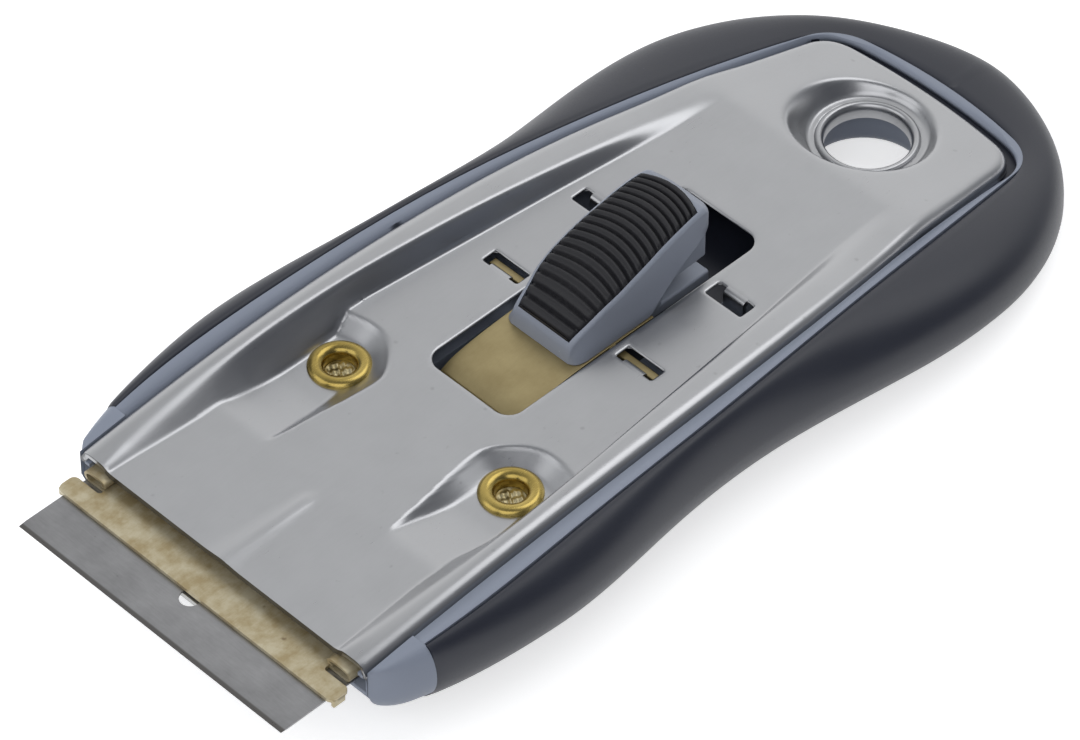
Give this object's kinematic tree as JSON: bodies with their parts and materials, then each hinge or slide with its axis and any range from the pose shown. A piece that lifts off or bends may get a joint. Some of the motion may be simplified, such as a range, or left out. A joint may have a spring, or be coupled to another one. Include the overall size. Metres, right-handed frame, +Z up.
{
  "type": "window scraper",
  "caption": "Hand-held window scraper with a retractable single-edge blade, a sliding thumb button, a steel top plate and a contoured plastic handle with a hanging hole.",
  "frame": {"origin": "on the surface that the handle's flat underside lies on, under the middle of the overall length with the blade out, on the centreline", "axes": "+X from the blade towards the handle's tail, +Y to the left seen from the tail with the plate up, +Z up out of the steel plate"},
  "size_m": [0.1288, 0.0562, 0.0209],
  "materials": {
    "top_plate": "satin stainless sheet with a bright burr at its cut edges",
    "handle_frame": "semi-matt bluish grey plastic",
    "grip": "satin charcoal plastic",
    "rivet": "bright brass",
    "blade_carrier": "pale mottled brass sheet",
    "blade": "plain blade steel with a ground edge",
    "blade_clamp": "plain steel sheet",
    "clamp_rivets": "plain steel",
    "spring_leaf": "deeper gold brass sheet",
    "thumb_button": "semi-matt bluish grey plastic",
    "thumb_pad": "ribbed black rubber",
    "button_clip": "toothed spring steel clip"
  },
  "bodies": {
    "handle": {"top_plate": "top_plate", "handle_frame": "handle_frame", "grip": "grip", "left_rivet": "rivet", "right_rivet": "rivet"},
    "carriage": {"blade_carrier": "blade_carrier", "blade": "blade", "blade_clamp": "blade_clamp", "clamp_rivets": "clamp_rivets"},
    "button": {"spring_leaf": "spring_leaf", "thumb_button": "thumb_button", "thumb_pad": "thumb_pad", "button_clip": "button_clip"}
  },
  "joints": [
    {"name": "carrier_slide", "type": "slide", "parent": "handle", "child": "carriage", "axis": [1, 0, 0], "range_m": [0, 0.013]},
    {"name": "button_press", "type": "hinge", "parent": "carriage", "child": "button", "pos_m": [-0.01705, 0, 0.00935], "axis": [0, 1, 0], "range_deg": [0, 2.5], "stiffness_Nm_per_rad": 0.5, "springref_deg": -2.86}
  ]
}
